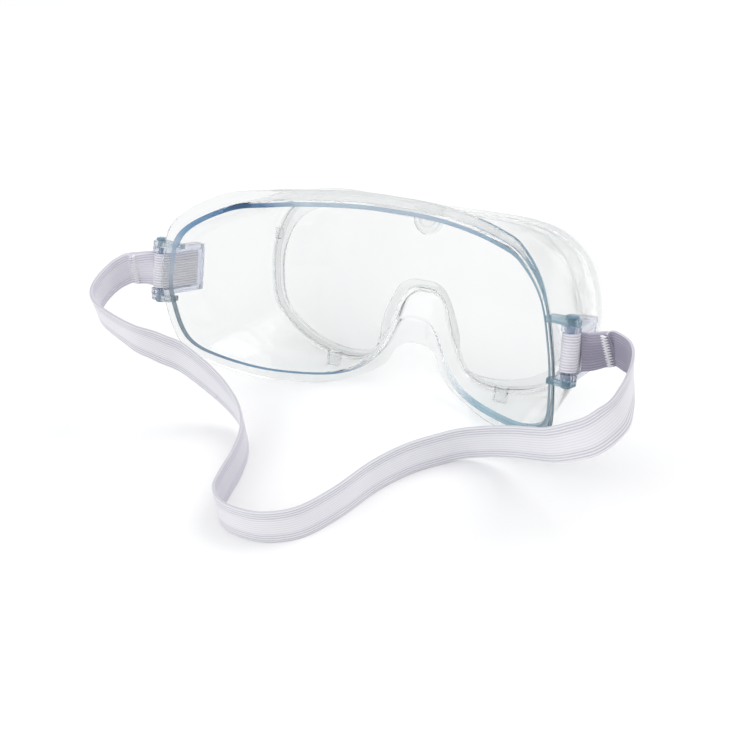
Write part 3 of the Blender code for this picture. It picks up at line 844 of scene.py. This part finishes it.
def build_free_strap(cloth):
    """The free middle in three pieces: the two next to the buckles, and the rest."""
    left_end, left_out = seam_end(-1, TAIL_LEFT)
    right_end, right_out = seam_end(1, TAIL_RIGHT)
    points = [left_end + left_out * (SEAM_GAP + lead) for lead in SEAM_LEAD]
    points += [Vector(p) + ORIGIN_SHIFT for p in STRAP_DROP_LEFT]
    points += [Vector((x, y, TABLE_HEIGHT)) + ORIGIN_SHIFT for x, y in STRAP_ON_TABLE]
    points += [Vector(p) + ORIGIN_SHIFT for p in STRAP_RISE_RIGHT]
    points += [right_end + right_out * (SEAM_GAP + lead) for lead in reversed(SEAM_LEAD)]
    path = smooth_path(points, STRAP_STEPS, closed=False)
    for point in path:
        point.z = max(point.z, TABLE_HEIGHT)
    ups = middle_ups(len(path))
    path = ([left_end - left_out * SEAM_OVERLAP] + path
            + [right_end - right_out * SEAM_OVERLAP])
    ups = [ups[0]] + ups + [ups[-1]]
    profile = section(STRAP_THICKNESS, 0.18, 0.03)
    first, last = LEFT_CUT * STRAP_STEPS, len(path) - 1 - RIGHT_CUT * STRAP_STEPS
    bends = {"left": (0, first, Vector((-98, 0, 53)), Vector((-76, -14, 28))),
             "right": (last, len(path) - 1, Vector((93, 10, 52)), Vector((80, -9, 25)))}
    for word, (start, end, near, far) in bends.items():
        strap = strap_stretch("strap_bend_" + word, path, ups, profile, start, end, cloth)
        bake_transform(strap)
    run = strap_stretch("strap_run", path, ups, profile, first, last, cloth)
    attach(run, "goggles")


def strap_stretch(name, path, ups, profile, start, end, cloth):
    verts, faces, uvs, length, slots = band(path[start:end + 1], ups[start:end + 1], profile)
    strap = piece(name, verts, faces, cloth, Matrix.Identity(4), uvs=uvs, slots=slots)
    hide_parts("strap_middle")
    return strap


# Stage --------------------------------------------------------------------------------------------

def build_stage():
    n = Nodes("pale_floor")
    n.link(n.mix(n.noise(6.0), srgb(250, 250, 250), srgb(247, 247, 247)), "Base Color")
    n.set(Roughness=0.9)
    verts, faces = box((-3000, -3000, -20), (3000, 3000, 0))
    floor = piece("floor", verts, faces, n.mat, Matrix.Identity(4))
    world = bpy.data.worlds.new("studio")
    world.use_nodes = True
    tree = world.node_tree
    where = tree.nodes.new("ShaderNodeTexCoord")
    split = tree.nodes.new("ShaderNodeSeparateXYZ")
    ramp = tree.nodes.new("ShaderNodeValToRGB")
    ramp.color_ramp.elements[0].position = 0.0
    ramp.color_ramp.elements[0].color = WORLD_BELOW
    ramp.color_ramp.elements[1].position = 0.75
    ramp.color_ramp.elements[1].color = WORLD_ABOVE
    tree.links.new(where.outputs["Generated"], split.inputs[0])
    tree.links.new(split.outputs[2], ramp.inputs[0])
    tree.links.new(ramp.outputs[0], tree.nodes["Background"].inputs["Color"])
    tree.nodes["Background"].inputs["Strength"].default_value = WORLD_STRENGTH
    bpy.context.scene.world = world
    area_light(*KEY_LIGHT)
    area_light(*FILL_LIGHT)


def area_light(name, place, size, power, colour):
    light = bpy.data.lights.new(name, 'AREA')
    light.size = size
    light.energy = power
    light.color = colour
    obj = bpy.data.objects.new(name, light)
    obj.location = place
    obj.rotation_euler = (-Vector(place)).to_track_quat('-Z', 'Y').to_euler()
    bpy.context.scene.collection.objects.link(obj)


def build_camera():
    data = bpy.data.cameras.new("camera")
    data.sensor_width = 36.0
    data.lens = CAMERA_LENS
    camera = bpy.data.objects.new("camera", data)
    bpy.context.scene.collection.objects.link(camera)
    turn = Matrix(CAMERA_AXES).transposed()
    camera.matrix_world = Matrix.Translation(CAMERA_PLACE) @ turn.to_4x4()
    bpy.context.scene.camera = camera
    bpy.context.scene.view_settings.view_transform = 'Standard'


# Assembly -----------------------------------------------------------------------------------------

def build():
    clear = clear_plastic("clear_vinyl", srgb(244, 245, 245), VINYL_IOR, (0.03, 0.07), 1.0, 60.0,
                          0.0002)
    edge = tinted_edge()
    lens = clear_plastic("clear_lens", srgb(247, 248, 248), LENS_IOR, (0.01, 0.03), 1.0, 20.0,
                         0.0001, (srgb(236, 237, 237), srgb(250, 250, 250)))
    ear = ear_plastic()
    grip = clear_plastic("buckle_plastic", srgb(226, 230, 242), 1.45, (0.06, 0.14), 0.9, 120.0,
                         0.0002, (srgb(232, 235, 245), srgb(212, 217, 232)))
    pin = clear_plastic("pin_plastic", srgb(120, 150, 168), 1.45, (0.15, 0.3), 0.3, 200.0, 0.0002,
                        (srgb(112, 146, 166), srgb(134, 164, 180)))
    # The side that looks at the head is painted shade: darker than the outer face, and darker still
    # towards the wearer's right.
    inner = elastic("elastic_inner_painted_shade", srgb(236, 235, 240), srgb(229, 228, 235), srgb(186, 182, 198),
                    0.3, srgb(144, 139, 158))
    cloth = (elastic("elastic", srgb(248, 248, 250), srgb(231, 230, 236), srgb(184, 182, 194),
                     0.25), inner)
    looped = (elastic("elastic_looped", srgb(246, 245, 248), srgb(236, 235, 241),
                      srgb(178, 175, 190), 0.6), inner)
    sewing = thread("sewing_thread")
    build_frame(clear, edge)
    build_ears(ear)
    build_lugs(clear)
    build_lens(lens)
    for side, word, tail in ((-1, "left", TAIL_LEFT), (1, "right", TAIL_RIGHT)):
        build_pin(side, word, pin)
        build_buckle(side, word, grip)
        build_loop(side, word, tail, looped)
        build_stitching(side, word, tail, sewing)
    build_free_strap(cloth)
    build_stage()
    build_camera()


build()
